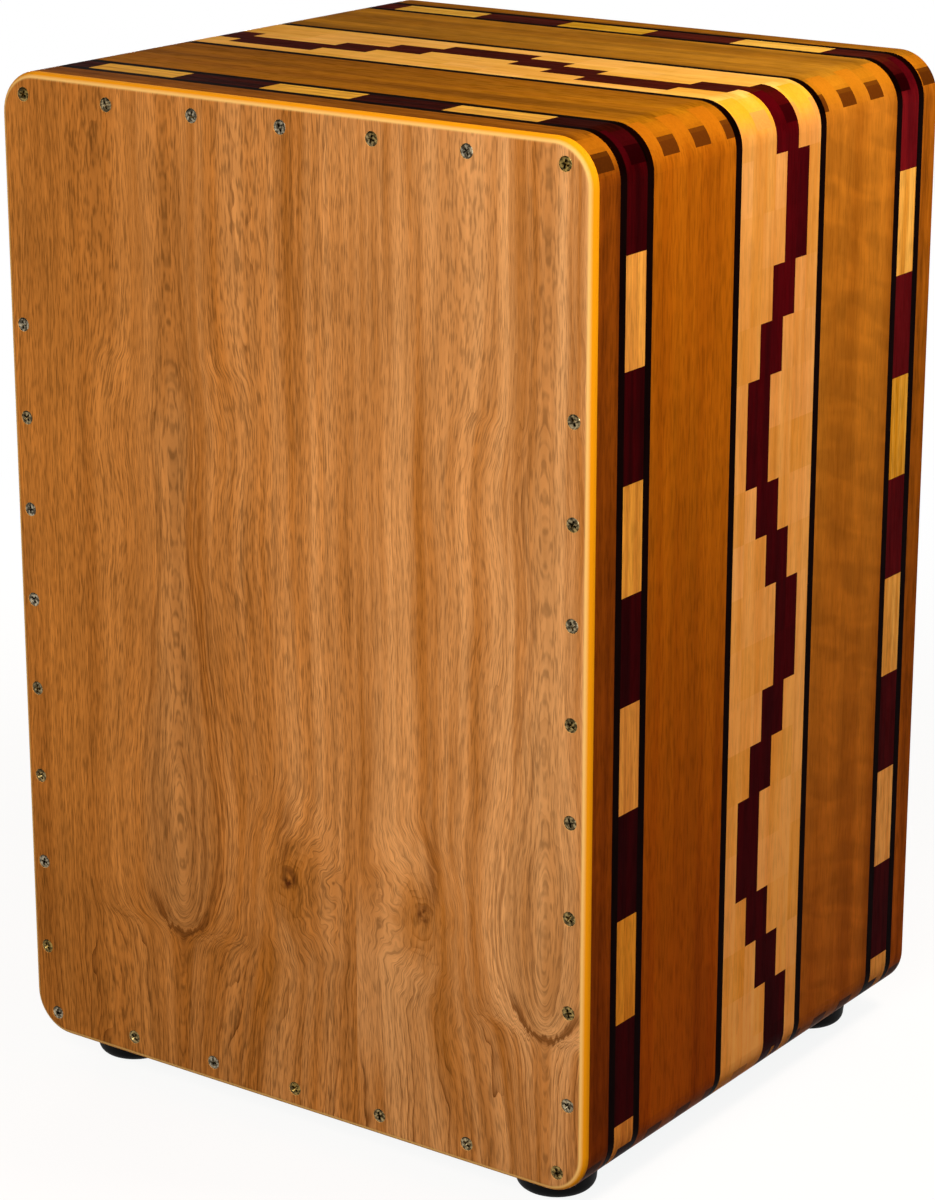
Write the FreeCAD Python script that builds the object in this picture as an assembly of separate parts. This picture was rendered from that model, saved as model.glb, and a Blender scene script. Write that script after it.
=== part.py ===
"""Cajon: a box drum of laminated hardwood strips with a stepped inlay.

Four laminated panels meet in finger joints and carry a screwed front striking
plate, a glued back plate with a round sound hole, and four rubber feet.
Frame: origin on the ground under the middle of the box, +X to the player's
right when facing the front, +Y towards the back, +Z up.  Millimetres.
"""
import FreeCAD
import Part
import math
import os

# Outer box, without feet.  The depth follows from the strips below.
BOX_WIDTH = 322.0
BOX_HEIGHT = 470.0
PANEL_THICKNESS = 14.0
CORNER_RADIUS = 20.0
REAR_EDGE_CHAMFER = 1.0

# Front striking plate.
FRONT_PLATE_THICKNESS = 4.2
FRONT_PLATE_ROUND = 3.9

# Strips of each panel, from the front edge to the rear edge.
FRONT_RAIL_WIDTH = 15.4
STRINGER_WIDTH = 5.0
CHECKER_WIDTH = 15.2
FRONT_FIELD_WIDTH = 64.5
ZIGZAG_COLUMN_WIDTH = 9.5
ZIGZAG_COLUMNS = 7
REAR_FIELD_WIDTH = 64.0
REAR_RAIL_WIDTH = 13.0

# Rows of blocks along a panel: the end rows have their own lengths, and the rows
# between share what is left.  A checker block is two rows long.
SIDE_FIRST_ROW = 26.2
SIDE_LAST_ROW = 26.45
SIDE_MIDDLE_ROWS = 17
LEVEL_FIRST_ROW = 32.0
LEVEL_LAST_ROW = 19.95
LEVEL_MIDDLE_ROWS = 11
# Column, counted from the front, where the dark pair starts in each row; it repeats.
ZIGZAG_PATH = "44321123"

# Finger joints at the four long corners.
FINGER_WIDTH = 12.35

# Back plate in its rabbet.
BACK_PLATE_THICKNESS = 6.0
RABBET_WALL = 7.0
BACK_PLATE_CLEARANCE = 0.15
SOUND_HOLE_RADIUS = 57.5
SOUND_HOLE_BELOW_TOP = 165.0
SOUND_HOLE_CHAMFER = 1.5

# Small fasteners and what they sit in are twelve-sided, to keep the model light.
FASTENER_SIDES = 12

# Countersunk screws of the front plate.
SCREW_LENGTH = 16.0
SCREW_SHANK_RADIUS = 1.6
SCREW_HEAD_RADIUS = 3.5
SCREW_CLEARANCE = 0.05
ROW_SCREWS = 7
ROW_END_INSET = 14.0
ROW_BACKOFF = 3.5
COLUMN_SCREWS = 8
COLUMN_LOW = 44.3
COLUMN_FREE_ABOVE = 117.0
COLUMN_BACKOFF = 5.2

# Rubber feet with their washers and screws.
FOOT_RADIUS = 18.0
FOOT_HEIGHT = 14.0
FOOT_TAPER = 1.2
FOOT_EDGE_WIDTH = 3.0
FOOT_EDGE_HEIGHT = 3.0
FOOT_SIDE_INSET = 36.0
FOOT_FRONT_INSET = 32.4
FOOT_RECESS_RADIUS = 7.0
FOOT_RECESS_DEPTH = 8.0
WASHER_CLEARANCE = 1.0
WASHER_THICKNESS = 1.2
FOOT_SCREW_RADIUS = 2.0
FOOT_SCREW_LENGTH = 16.0
FOOT_SCREW_HEAD_RADIUS = 3.8
FOOT_SCREW_HEAD_HEIGHT = 2.4
FOOT_SCREW_CLEARANCE = 0.05

# Places that follow from the sizes above.
STRIPS = (
    ("front_rail", FRONT_RAIL_WIDTH),
    ("stringer", STRINGER_WIDTH),
    ("front_checker", CHECKER_WIDTH),
    ("stringer", STRINGER_WIDTH),
    ("front_field", FRONT_FIELD_WIDTH),
    ("stringer", STRINGER_WIDTH),
    ("zigzag", ZIGZAG_COLUMN_WIDTH * ZIGZAG_COLUMNS),
    ("stringer", STRINGER_WIDTH),
    ("rear_field", REAR_FIELD_WIDTH),
    ("stringer", STRINGER_WIDTH),
    ("rear_checker", CHECKER_WIDTH),
    ("stringer", STRINGER_WIDTH),
    ("rear_rail", REAR_RAIL_WIDTH),
)
BODY_DEPTH = sum(width for _name, width in STRIPS)
FRONT_Y = -(BODY_DEPTH + FRONT_PLATE_THICKNESS) / 2
BODY_FRONT_Y = FRONT_Y + FRONT_PLATE_THICKNESS
REAR_Y = BODY_FRONT_Y + BODY_DEPTH
BOX_BOTTOM_Z = FOOT_HEIGHT
BOX_TOP_Z = BOX_BOTTOM_Z + BOX_HEIGHT
HALF_WIDTH = BOX_WIDTH / 2


def box(x_span, y_span, z_span):
    """Return a box that fills the three spans."""
    size = [span[1] - span[0] for span in (x_span, y_span, z_span)]
    corner = FreeCAD.Vector(x_span[0], y_span[0], z_span[0])
    return Part.makeBox(size[0], size[1], size[2], corner)


def rounded_outline(inset, radius, y):
    """Return the box outline, moved in by inset, as a face at depth y."""
    right = HALF_WIDTH - inset
    top = BOX_TOP_Z - inset
    bottom = BOX_BOTTOM_Z + inset
    centres = (
        (right - radius, top - radius, 0),
        (-right + radius, top - radius, 90),
        (-right + radius, bottom + radius, 180),
        (right - radius, bottom + radius, 270),
    )
    arcs = [outline_arc(x, z, radius, start, y) for x, z, start in centres]
    edges = []
    for index, arc in enumerate(arcs):
        following = arcs[(index + 1) % len(arcs)]
        start = arc.valueAt(arc.LastParameter)
        end = following.valueAt(following.FirstParameter)
        edges.append(arc)
        edges.append(Part.makeLine(start, end))
    return Part.Face(Part.Wire(edges))


def outline_arc(x, z, radius, start, y):
    """Return a quarter circle in the plane y, from start degrees onwards."""
    points = []
    for degrees in (start, start + 45, start + 90):
        angle = math.radians(degrees)
        points.append(FreeCAD.Vector(x + radius * math.cos(angle), y, z + radius * math.sin(angle)))
    return Part.Arc(*points).toShape()


def rounded_prism(inset, radius, y_span):
    """Return the rounded box outline extruded over a depth span."""
    face = rounded_outline(inset, radius, y_span[0])
    return face.extrude(FreeCAD.Vector(0, y_span[1] - y_span[0], 0))


def edges_at_depth(shape, y):
    """Return the edges of a shape that lie wholly in the plane y."""
    spans = [(edge, edge.BoundBox) for edge in shape.Edges]
    return [edge for edge, bounds in spans if max(abs(bounds.YMin - y), abs(bounds.YMax - y)) < 1e-6]


def turned(profile, origin, direction):
    """Return the solid turned from (radius, height) points, stood at origin along direction."""
    points = [FreeCAD.Vector(radius, 0, height) for radius, height in profile]
    wire = Part.makePolygon(points + points[:1])
    solid = Part.Face(wire).revolve(FreeCAD.Vector(0, 0, 0), FreeCAD.Vector(0, 0, 1), 360)
    solid.Placement = FreeCAD.Placement(origin, FreeCAD.Rotation(FreeCAD.Vector(0, 0, 1), direction))
    return solid


def faceted(sections, origin, direction):
    """Return a solid through twelve-sided sections of (radius, height), stood at origin along direction."""
    wires = []
    for radius, height in sections:
        turns = [2 * math.pi * index / FASTENER_SIDES for index in range(FASTENER_SIDES)]
        points = [FreeCAD.Vector(radius * math.cos(turn), radius * math.sin(turn), height) for turn in turns]
        wires.append(Part.makePolygon(points + points[:1]))
    solid = Part.makeLoft(wires, True, True)
    solid.Placement = FreeCAD.Placement(origin, FreeCAD.Rotation(FreeCAD.Vector(0, 0, 1), direction))
    return solid


def finger_spans():
    """Return the depth span of each finger, front to rear; even entries belong to top and bottom."""
    pairs = max(1, round((BODY_DEPTH / FINGER_WIDTH - 1) / 2))
    count = 2 * pairs + 1
    pitch = BODY_DEPTH / count
    return [(BODY_FRONT_Y + index * pitch, BODY_FRONT_Y + (index + 1) * pitch) for index in range(count)]


def body_shell():
    """Return the joined frame of the four panels, before it is parted at the corners."""
    outer = rounded_prism(0, CORNER_RADIUS, (BODY_FRONT_Y, REAR_Y))
    outer = outer.makeChamfer(REAR_EDGE_CHAMFER, edges_at_depth(outer, REAR_Y))
    inner = box(
        (-HALF_WIDTH + PANEL_THICKNESS, HALF_WIDTH - PANEL_THICKNESS),
        (BODY_FRONT_Y, REAR_Y),
        (BOX_BOTTOM_Z + PANEL_THICKNESS, BOX_TOP_Z - PANEL_THICKNESS),
    )
    rabbet_span = (REAR_Y - BACK_PLATE_THICKNESS, REAR_Y)
    rabbet = rounded_prism(RABBET_WALL, CORNER_RADIUS - RABBET_WALL, rabbet_span)
    return outer.cut([inner, rabbet] + screw_bores() + foot_screw_bores())


def comb_zone(upright):
    """Return the boxes that an upright panel (left and right) or a level panel (top and bottom) fills."""
    inner_half = HALF_WIDTH - PANEL_THICKNESS
    depth = (BODY_FRONT_Y, REAR_Y)
    if upright:
        wall = (inner_half, HALF_WIDTH)
        core = box(wall, depth, (BOX_BOTTOM_Z + PANEL_THICKNESS, BOX_TOP_Z - PANEL_THICKNESS))
        ends = [box(wall, span, (BOX_BOTTOM_Z, BOX_TOP_Z)) for span in finger_spans()[1::2]]
    else:
        wall = (BOX_TOP_Z - PANEL_THICKNESS, BOX_TOP_Z)
        core = box((-inner_half, inner_half), depth, wall)
        ends = [box((-HALF_WIDTH, HALF_WIDTH), span, wall) for span in finger_spans()[0::2]]
    return core.fuse(ends)


def panel_blank(shell, name):
    """Return one panel of the frame, with its fingers, bores and rounded corners."""
    upright = name in ("left_side", "right_side")
    zone = comb_zone(upright)
    if name == "left_side":
        zone = zone.mirror(FreeCAD.Vector(0, 0, 0), FreeCAD.Vector(1, 0, 0))
    if name == "bottom":
        zone = zone.mirror(FreeCAD.Vector(0, 0, (BOX_TOP_Z + BOX_BOTTOM_Z) / 2), FreeCAD.Vector(0, 0, 1))
    return shell.common(zone)


def row_cuts(upright):
    """Return the places of the cuts between the block rows, from a panel's top or left edge."""
    if upright:
        first, last, rows, length = SIDE_FIRST_ROW, SIDE_LAST_ROW, SIDE_MIDDLE_ROWS, BOX_HEIGHT
    else:
        first, last, rows, length = LEVEL_FIRST_ROW, LEVEL_LAST_ROW, LEVEL_MIDDLE_ROWS, BOX_WIDTH
    row_length = (length - first - last) / rows
    return [first + index * row_length for index in range(rows + 1)]


def run_box(upright, run_span, y_span):
    """Return a box over a stretch of a panel, measured from its top edge or its left edge."""
    far = BOX_WIDTH + BOX_HEIGHT
    if upright:
        return box((-far, far), y_span, (BOX_TOP_Z - run_span[1], BOX_TOP_Z - run_span[0]))
    return box((-HALF_WIDTH + run_span[0], -HALF_WIDTH + run_span[1]), y_span, (-far, far))


def merged_runs(cuts, length, values):
    """Return (start, end, value) stretches between the cuts, joining equal neighbours."""
    bounds = [0.0] + cuts + [length]
    runs = []
    for index, value in enumerate(values):
        if runs and runs[-1][2] == value:
            runs[-1] = (runs[-1][0], bounds[index + 1], value)
        else:
            runs.append((bounds[index], bounds[index + 1], value))
    return runs


def cut_column(blank, upright, y_span, runs):
    """Part one column of a panel into its dark and light blocks."""
    dark = []
    light = []
    for start, end, is_dark in runs:
        piece = blank.common(run_box(upright, (start, end), y_span))
        if is_dark:
            dark.extend(piece.Solids)
        else:
            light.extend(piece.Solids)
    return dark, light


def zigzag_blocks(blank, upright, y_start, cuts, length, phase):
    """Part the middle band into columns whose dark blocks step to and fro."""
    rows = [int(ZIGZAG_PATH[(index + phase) % len(ZIGZAG_PATH)]) for index in range(len(cuts) + 1)]
    dark = []
    light = []
    for column in range(ZIGZAG_COLUMNS):
        values = [column in (row, row + 1) for row in rows]
        y_span = (y_start + column * ZIGZAG_COLUMN_WIDTH, y_start + (column + 1) * ZIGZAG_COLUMN_WIDTH)
        found = cut_column(blank, upright, y_span, merged_runs(cuts, length, values))
        dark += found[0]
        light += found[1]
    return dark, light


def checker_blocks(blank, upright, y_span, cuts, length, phase):
    """Part a checker band into blocks two rows long, dark first."""
    values = [((index + phase) // 2) % 2 == 0 for index in range(len(cuts) + 1)]
    return cut_column(blank, upright, y_span, merged_runs(cuts, length, values))


def panel_nodes(blank, name):
    """Return the named pieces of one laminated panel."""
    upright = name in ("left_side", "right_side")
    length = BOX_HEIGHT if upright else BOX_WIDTH
    cuts = row_cuts(upright)
    zigzag_phase = -1 if upright else 3
    checker_phase = 0 if upright else 1
    nodes = {}
    stringers = []
    y = BODY_FRONT_Y
    for strip, width in STRIPS:
        y_span = (y, y + width)
        if strip == "zigzag":
            dark, light = zigzag_blocks(blank, upright, y, cuts, length, zigzag_phase)
            nodes["zigzag_dark_blocks"] = dark
            nodes["zigzag_light_blocks"] = light
        elif strip.endswith("checker"):
            dark, light = checker_blocks(blank, upright, y_span, cuts, length, checker_phase)
            nodes[strip + "_dark_blocks"] = dark
            nodes[strip + "_light_blocks"] = light
        elif strip == "stringer":
            stringers += blank.common(run_box(upright, (0, length), y_span)).Solids
        else:
            nodes[strip] = blank.common(run_box(upright, (0, length), y_span)).Solids
        y += width
    nodes["stringers"] = stringers
    return {name + "_" + key: solids for key, solids in nodes.items()}


def screw_places():
    """Return the (x, z) places of the front plate's screws."""
    row_inset = PANEL_THICKNESS - ROW_BACKOFF
    row_pitch = (BOX_WIDTH - 2 * ROW_END_INSET) / (ROW_SCREWS - 1)
    places = []
    for index in range(ROW_SCREWS):
        x = -HALF_WIDTH + ROW_END_INSET + index * row_pitch
        places.append((x, BOX_TOP_Z - row_inset))
        places.append((x, BOX_BOTTOM_Z + row_inset))
    column_x = HALF_WIDTH - (PANEL_THICKNESS - COLUMN_BACKOFF)
    column_pitch = (BOX_HEIGHT - COLUMN_FREE_ABOVE - COLUMN_LOW) / (COLUMN_SCREWS - 1)
    for index in range(COLUMN_SCREWS):
        z = BOX_BOTTOM_Z + COLUMN_LOW + index * column_pitch
        places.append((column_x, z))
        places.append((-column_x, z))
    return places


def screw_at(place, clearance):
    """Return a countersunk screw, or its bore with a clearance, driven into the front at (x, z)."""
    head = SCREW_HEAD_RADIUS + clearance
    shank = SCREW_SHANK_RADIUS + clearance
    sections = [(head, 0), (shank, head - shank), (shank, SCREW_LENGTH + clearance)]
    return faceted(sections, FreeCAD.Vector(place[0], FRONT_Y, place[1]), FreeCAD.Vector(0, 1, 0))


def screw_bores():
    """Return the bores that the front plate's screws sit in."""
    return [screw_at(place, SCREW_CLEARANCE) for place in screw_places()]


def front_plate():
    """Return the striking plate with its rounded rim and countersunk holes."""
    plate = rounded_prism(0, CORNER_RADIUS, (FRONT_Y, BODY_FRONT_Y))
    rim_round = min(FRONT_PLATE_ROUND, 0.95 * FRONT_PLATE_THICKNESS)
    plate = plate.makeFillet(rim_round, edges_at_depth(plate, FRONT_Y))
    return plate.cut(screw_bores())


def back_plate():
    """Return the back plate with its round sound hole."""
    inset = RABBET_WALL + BACK_PLATE_CLEARANCE
    span = (REAR_Y - BACK_PLATE_THICKNESS, REAR_Y)
    plate = rounded_prism(inset, CORNER_RADIUS - inset, span)
    centre = FreeCAD.Vector(0, span[0], BOX_TOP_Z - SOUND_HOLE_BELOW_TOP)
    hole = Part.makeCylinder(SOUND_HOLE_RADIUS, BACK_PLATE_THICKNESS, centre, FreeCAD.Vector(0, 1, 0))
    plate = plate.cut(hole)
    rim = [edge for edge in edges_at_depth(plate, REAR_Y) if edge.isClosed()]
    return plate.makeChamfer(SOUND_HOLE_CHAMFER, rim)


def foot_places():
    """Return the named (x, y) places of the feet."""
    x = HALF_WIDTH - FOOT_SIDE_INSET
    front = FRONT_Y + FOOT_FRONT_INSET
    rear = REAR_Y - FOOT_FRONT_INSET
    return {
        "foot_front_left": (-x, front),
        "foot_front_right": (x, front),
        "foot_rear_left": (-x, rear),
        "foot_rear_right": (x, rear),
    }


def foot(place):
    """Return one rubber foot, turned with a softened lower edge, with its screw recess."""
    profile = [
        (0, 0),
        (FOOT_RADIUS - FOOT_EDGE_WIDTH, 0),
        (FOOT_RADIUS, FOOT_EDGE_HEIGHT),
        (FOOT_RADIUS + FOOT_TAPER, FOOT_HEIGHT),
        (0, FOOT_HEIGHT),
    ]
    origin = FreeCAD.Vector(place[0], place[1], 0)
    solid = turned(profile, origin, FreeCAD.Vector(0, 0, 1))
    sections = [(FOOT_RECESS_RADIUS, 0), (FOOT_RECESS_RADIUS, FOOT_RECESS_DEPTH)]
    recess = faceted(sections, origin, FreeCAD.Vector(0, 0, 1))
    return solid.cut([recess, foot_screw_shank(place, FOOT_SCREW_CLEARANCE)])


def foot_washer(place):
    """Return the washer at the bottom of a foot's recess."""
    sections = [
        (FOOT_RECESS_RADIUS - WASHER_CLEARANCE, FOOT_RECESS_DEPTH - WASHER_THICKNESS),
        (FOOT_RECESS_RADIUS - WASHER_CLEARANCE, FOOT_RECESS_DEPTH),
    ]
    washer = faceted(sections, FreeCAD.Vector(place[0], place[1], 0), FreeCAD.Vector(0, 0, 1))
    return washer.cut(foot_screw_shank(place, FOOT_SCREW_CLEARANCE))


def foot_screw_shank(place, clearance):
    """Return the shank of a foot screw, or its bore with a clearance, upwards from the washer."""
    seat = FOOT_RECESS_DEPTH - WASHER_THICKNESS
    radius = FOOT_SCREW_RADIUS + clearance
    sections = [(radius, seat), (radius, seat + FOOT_SCREW_LENGTH + clearance)]
    return faceted(sections, FreeCAD.Vector(place[0], place[1], 0), FreeCAD.Vector(0, 0, 1))


def foot_screw(place):
    """Return one pan head screw under its foot's washer."""
    seat = FOOT_RECESS_DEPTH - WASHER_THICKNESS
    low = seat - FOOT_SCREW_HEAD_HEIGHT
    sections = [(0.7 * FOOT_SCREW_HEAD_RADIUS, low), (FOOT_SCREW_HEAD_RADIUS, seat)]
    head = faceted(sections, FreeCAD.Vector(place[0], place[1], 0), FreeCAD.Vector(0, 0, 1))
    return head.fuse(foot_screw_shank(place, 0))


def foot_screw_bores():
    """Return the bores of the foot screws in the bottom panel."""
    return [foot_screw_shank(place, FOOT_SCREW_CLEARANCE) for place in foot_places().values()]


def all_nodes():
    """Return every named node with its list of solids."""
    nodes = {
        "front_plate": [front_plate()],
        "back_plate": [back_plate()],
        "front_plate_screws": [screw_at(place, 0) for place in screw_places()],
        "foot_washers": [foot_washer(place) for place in foot_places().values()],
        "foot_screws": [foot_screw(place) for place in foot_places().values()],
    }
    for name, place in foot_places().items():
        nodes[name] = [foot(place)]
    shell = body_shell()
    for name in ("right_side", "left_side", "top", "bottom"):
        nodes.update(panel_nodes(panel_blank(shell, name), name))
    return nodes


def main():
    """Build every node and write it to parts."""
    os.makedirs("parts", exist_ok=True)
    for name, solids in all_nodes().items():
        shapes = [solid for shape in solids for solid in shape.Solids]
        shape = shapes[0] if len(shapes) == 1 else Part.makeCompound(shapes)
        shape.exportStep(os.path.join("parts", name + ".step"))
        print(name, len(shapes), round(shape.Volume), shape.isValid())


main()
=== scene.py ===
"""Dresses a wooden box drum (cajon) for its portrait.

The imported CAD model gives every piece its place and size. Here each wood gets the look of its own
species, the plate screws and the rubber feet are made in full detail, and a plain pale studio is
set up round the drum. Units are metres, and pattern sizes are given in millimetres.
"""

import logging
import math
from dataclasses import dataclass, replace
from enum import Enum
from typing import Any

import bmesh
import bpy
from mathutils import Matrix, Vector


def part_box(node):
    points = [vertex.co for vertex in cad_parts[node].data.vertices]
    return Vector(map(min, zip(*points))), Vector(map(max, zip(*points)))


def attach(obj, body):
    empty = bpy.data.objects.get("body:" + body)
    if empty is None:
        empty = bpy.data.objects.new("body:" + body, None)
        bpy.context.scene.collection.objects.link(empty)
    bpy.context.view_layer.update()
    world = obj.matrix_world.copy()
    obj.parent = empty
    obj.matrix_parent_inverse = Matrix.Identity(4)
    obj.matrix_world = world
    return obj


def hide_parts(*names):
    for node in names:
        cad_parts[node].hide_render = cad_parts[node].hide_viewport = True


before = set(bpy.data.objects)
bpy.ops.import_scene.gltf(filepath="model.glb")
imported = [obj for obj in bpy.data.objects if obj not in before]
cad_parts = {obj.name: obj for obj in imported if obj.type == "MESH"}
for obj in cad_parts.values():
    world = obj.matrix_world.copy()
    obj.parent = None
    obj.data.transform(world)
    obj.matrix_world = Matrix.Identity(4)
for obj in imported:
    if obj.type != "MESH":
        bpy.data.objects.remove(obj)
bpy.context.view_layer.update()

MM = 0.001
LOG = logging.getLogger("cajon")

Material = bpy.types.Material
Node = bpy.types.Node
NodeSocket = bpy.types.NodeSocket


class Run(Enum):
    """Which way a board's fibres run, as the unit vector along them."""

    ACROSS = (1.0, 0.0, 0.0)
    UPRIGHT = (0.0, 0.0, 1.0)


class Side(Enum):
    """The four laminated panels of the box, with the way their fibres run."""

    RIGHT = ("right_side", Run.UPRIGHT)
    LEFT = ("left_side", Run.UPRIGHT)
    TOP = ("top", Run.ACROSS)
    BOTTOM = ("bottom", Run.ACROSS)


def linear(colour: str) -> tuple[float, float, float, float]:
    """Turn an sRGB hex colour into linear values.

    Args:
        colour: The colour, such as "#a86c31".

    Returns:
        Red, green, blue and an alpha of 1.
    """
    parts = [int(colour[i : i + 2], 16) / 255 for i in (1, 3, 5)]
    values = [c / 12.92 if c <= 0.04045 else ((c + 0.055) / 1.055) ** 2.4 for c in parts]
    return values[0], values[1], values[2], 1.0


class Nodes:
    """The node tree of a material or of the world, with the patterns that are drawn in it."""

    def __init__(self, owner: Material | bpy.types.World) -> None:
        """Start an empty tree.

        Args:
            owner: The material or the world that it belongs to.
        """
        owner.use_nodes = True
        self.tree = owner.node_tree
        self.tree.nodes.clear()

    def add(self, kind: str, inputs: dict[str | int, Any] | None = None, **settings: Any) -> Node:
        """Add one node, with its links and its settings.

        Args:
            kind: The node's type, without "ShaderNode" in front.
            inputs: What each input gets: a number, a vector, a hex colour, a socket, or a node,
                which gives its first output.
            settings: Its options by name. "points" holds the points of a curve.

        Returns:
            The new node.
        """
        node = self.tree.nodes.new("ShaderNode" + kind)
        for name, value in settings.items():
            if name == "points":
                curve = node.mapping.curves[0]
                curve.points[0].location, curve.points[1].location = value[0], value[-1]
                for x, y in value[1:-1]:
                    curve.points.new(x, y)
                node.mapping.update()
            else:
                setattr(node, name, value)
        for key, value in (inputs or {}).items():
            if isinstance(value, Node):
                value = next(out for out in value.outputs if out.enabled)
            if isinstance(value, NodeSocket):
                self.tree.links.new(value, node.inputs[key])
            else:
                node.inputs[key].default_value = linear(value) if isinstance(value, str) else value
        return node

    def product(self, *parts: Any) -> Any:
        """Multiply values, each of which may first pass through a soft window.

        Args:
            parts: Numbers, sockets, nodes and windows. A window is a tuple: a value, where it
                starts and ends, and what it gives at its start and at its end.

        Returns:
            The node that gives the product.
        """
        result: Any = None
        for part in parts:
            if isinstance(part, tuple):
                part = self.add("MapRange", dict(enumerate(part)), interpolation_type="SMOOTHSTEP")
            if result is not None:
                part = self.add("Math", {0: result, 1: part}, operation="MULTIPLY")
            result = part
        return result

    def stain(self, under: Any, tone: Any, *parts: Any) -> Node:
        """Lay a tone over a colour.

        Args:
            under: The colour beneath.
            tone: The colour laid over it.
            parts: What says how strongly it covers, multiplied as product does.

        Returns:
            The node that gives the colour.
        """
        return self.add("Mix", {0: self.product(*parts), 6: under, 7: tone}, data_type="RGBA")

    def gap(self, value: Any, middle: float) -> Node:
        """Give how far a value lies to either side of a middle."""
        shifted = self.add("Math", {0: value, 1: middle}, operation="SUBTRACT")
        return self.add("Math", {0: shifted}, operation="ABSOLUTE")

    def clouds(
        self, place: Any, scale: tuple[float, float, float], detail: float, distortion: float = 0.0
    ) -> Node:
        """Draw cloudy noise that is stretched by its own amount along each axis.

        Args:
            place: The place that it is drawn at.
            scale: How fast the noise changes along x, y and z.
            detail: How many finer layers it has.
            distortion: How far it is warped.

        Returns:
            The noise node.
        """
        drawn = self.add("VectorMath", {0: place, 1: scale}, operation="MULTIPLY")
        inputs = {"Vector": drawn, "Scale": 1.0, "Detail": detail, "Distortion": distortion}
        return self.add("TexNoise", inputs)

    def repeated_line(self, phase: Any, sharpness: float) -> Node:
        """Draw a line at the end of each whole turn of a phase, the sharper the thinner."""
        tooth = self.add("Math", {0: phase}, operation="FRACT")
        return self.add("Math", {0: tooth, 1: sharpness}, operation="POWER")

    def facing(self, way: tuple[float, float, float]) -> Node:
        """Find how squarely the surface faces along an axis.

        Args:
            way: The unit vector along the axis.

        Returns:
            The node that gives 1 where it faces along the axis either way, and 0 across it.
        """
        normal = self.add("NewGeometry").outputs["True Normal"]
        dot = self.add("VectorMath", {0: normal, 1: way}, operation="DOT_PRODUCT")
        return self.add("Math", {0: dot.outputs["Value"]}, operation="ABSOLUTE")

    def close_surface(self, relief: dict[str, Any], looks: dict[str, Any], sunk: bool) -> None:
        """Finish a material with its shader and the fine relief of its surface.

        Args:
            relief: The relief's height, strength and distance.
            looks: The shader's other inputs.
            sunk: Whether the relief goes into the surface.
        """
        bump = self.add("Bump", relief, invert=sunk)
        shader = self.add("BsdfPrincipled", {**looks, "Normal": bump})
        self.add("OutputMaterial", {"Surface": shader})


def new_material(name: str) -> tuple[Material, Nodes]:
    """Make an empty node material, named for the finish that it shows."""
    material = bpy.data.materials.new(name)
    return material, Nodes(material)


def dress(node: str, material: Material) -> None:
    """Give a CAD node its material.

    Args:
        node: The CAD node's name.
        material: The finish that it gets in every slot.
    """
    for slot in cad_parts[node].material_slots:
        slot.material = material
    LOG.info("%s: %s", node, material.name)


def join_loops(mesh: bmesh.types.BMesh, loops: list[list[bmesh.types.BMVert]]) -> None:
    """Join each loop of points to the next with a band of faces.

    Args:
        mesh: The mesh that the points are in.
        loops: The loops, with as many points in each.
    """
    for inner, outer in zip(loops, loops[1:]):
        for i, corner in enumerate(inner):
            j = (i + 1) % len(inner)
            mesh.faces.new((corner, outer[i], outer[j], inner[j]))


def add_piece(mesh: bmesh.types.BMesh, name: str, material: Material, crease: float) -> bpy.types.Object:
    """Turn a finished mesh into a smooth piece of the scene.

    Args:
        mesh: The mesh, which is freed.
        name: The piece's name.
        material: Its finish.
        crease: The angle in degrees from which an edge stays sharp.

    Returns:
        The piece.
    """
    bmesh.ops.recalc_face_normals(mesh, faces=mesh.faces)
    data = bpy.data.meshes.new(name)
    mesh.to_mesh(data)
    mesh.free()
    data.shade_smooth()
    data.set_sharp_from_angle(angle=math.radians(crease))
    data.materials.append(material)
    piece = bpy.data.objects.new(name, data)
    bpy.context.scene.collection.objects.link(piece)
    return piece


@dataclass(frozen=True)
class LacqueredWood:
    """Solid hardwood, planed, sanded and sprayed with a satin lacquer.

    The eye gets soft bands along the board, short dark pores, a slow mottle that the lacquer
    deepens, dark end grain in the finger joints, and a painted highlight on the rounded corner.
    The top and an upright board's height are given painted light and shade.
    """

    name: str
    pale: str
    dark: str
    end: str
    band_mm: float
    band_strength: float
    pore_strength: float
    mottle: float
    lane_mm: float = 400.0
    tone_spread: float = 0.0
    roughness: float = 0.36
    gloss: float = 0.003
    tint_spread: float = 0.0
    row_mm: float = 24.55
    curl: float = 0.0
    streak: float = 0.0
    # Painted light: the corner's painted highlight, the top's painted light, and the painted light and hue
    # of an upright board's head and foot.
    corner: str = "#b2620a"
    top_painted_light: float = 1.0
    head_painted_light: float = 1.0
    foot_light: float = 1.0
    foot_hue: float = 0.489

    def make(self, label: str, run: Run, shift: float) -> Material:
        """Build the wood's material for one board.

        Args:
            label: The board's name, which ends the material's name.
            run: The way its fibres run.
            shift: How far into the timber this board was cut, in mm, so that no two match.

        Returns:
            The material.
        """
        material = bpy.data.materials.new(f"{self.name}_{label}")
        Board(material, self, run, shift).draw()
        return material


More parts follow.
